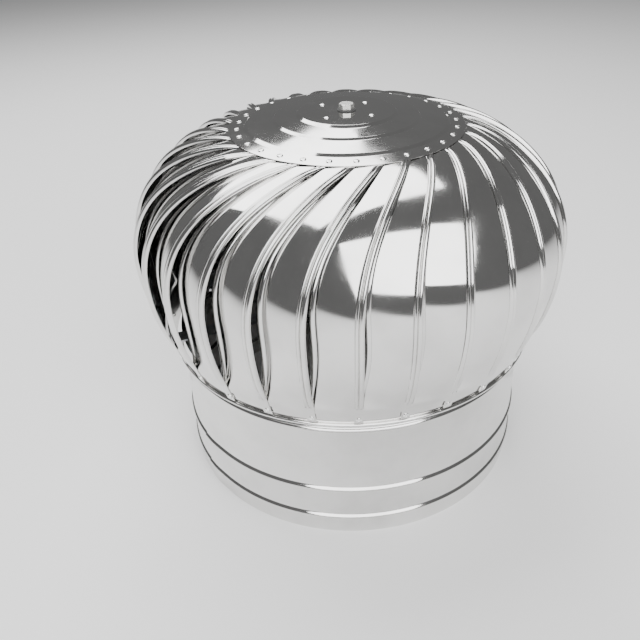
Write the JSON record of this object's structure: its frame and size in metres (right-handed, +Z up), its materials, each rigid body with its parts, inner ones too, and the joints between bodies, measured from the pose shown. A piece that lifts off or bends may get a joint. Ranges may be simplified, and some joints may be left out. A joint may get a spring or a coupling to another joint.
{
  "type": "roof turbine ventilator",
  "caption": "Polished sheet-metal roof turbine ventilator: a domed rotor of swirled ribbed blades spins on a shaft carried inside a beaded cylindrical neck.",
  "frame": {"origin": "on the spin axis, in the plane of the neck's bottom edge", "axes": "+Z up along the spin axis; the front of the object faces -Y"},
  "size_m": [0.5885, 0.5876, 0.512],
  "materials": {
    "polished_sheet": "mirror-polished stainless steel sheet",
    "galvanised_bar": "dull galvanised steel bar and pressings",
    "rivet_steel": "bright stainless rivets",
    "bearing_steel": "ground bearing steel",
    "zinc_plated_steel": "zinc-plated steel",
    "seal_rubber": "black rubber"
  },
  "bodies": {
    "base": {"neck": "polished_sheet", "support_arm_1": "galvanised_bar", "support_arm_2": "galvanised_bar", "support_arm_3": "galvanised_bar", "support_rivets": "rivet_steel", "hub_plate": "galvanised_bar", "hub_bolts": "zinc_plated_steel", "hub_nuts": "zinc_plated_steel", "shaft": "zinc_plated_steel", "shaft_foot_nut": "zinc_plated_steel", "shaft_top_nut": "zinc_plated_steel", "upper_inner_race": "bearing_steel", "lower_inner_race": "bearing_steel"},
    "rotor": {"blade_01": "polished_sheet", "blade_02": "polished_sheet", "blade_03": "polished_sheet", "blade_04": "polished_sheet", "blade_05": "polished_sheet", "blade_06": "polished_sheet", "blade_07": "polished_sheet", "blade_08": "polished_sheet", "blade_09": "polished_sheet", "blade_10": "polished_sheet", "blade_11": "polished_sheet", "blade_12": "polished_sheet", "blade_13": "polished_sheet", "blade_14": "polished_sheet", "blade_15": "polished_sheet", "blade_16": "polished_sheet", "blade_17": "polished_sheet", "blade_18": "polished_sheet", "blade_19": "polished_sheet", "blade_20": "polished_sheet", "blade_21": "polished_sheet", "blade_22": "polished_sheet", "blade_23": "polished_sheet", "blade_24": "polished_sheet", "blade_25": "polished_sheet", "blade_26": "polished_sheet", "blade_27": "polished_sheet", "blade_28": "polished_sheet", "blade_29": "polished_sheet", "brace_arm_1": "galvanised_bar", "brace_arm_2": "galvanised_bar", "brace_arm_3": "galvanised_bar", "brace_hub": "galvanised_bar", "brace_rivets": "rivet_steel", "grease_plug": "zinc_plated_steel", "housing_rivets": "rivet_steel", "lower_balls": "bearing_steel", "lower_outer_race": "bearing_steel", "lower_ring": "polished_sheet", "plug_washer": "seal_rubber", "ring_rivets": "rivet_steel", "top_plate": "polished_sheet", "top_rivets": "rivet_steel", "upper_balls": "bearing_steel", "upper_housing": "galvanised_bar", "upper_outer_race": "bearing_steel"}
  },
  "joints": [
    {"name": "rotor_spin", "type": "hinge", "parent": "base", "child": "rotor", "pos_m": [0, 0, 0.3], "axis": [0, 0, 1], "continuous": true}
  ]
}
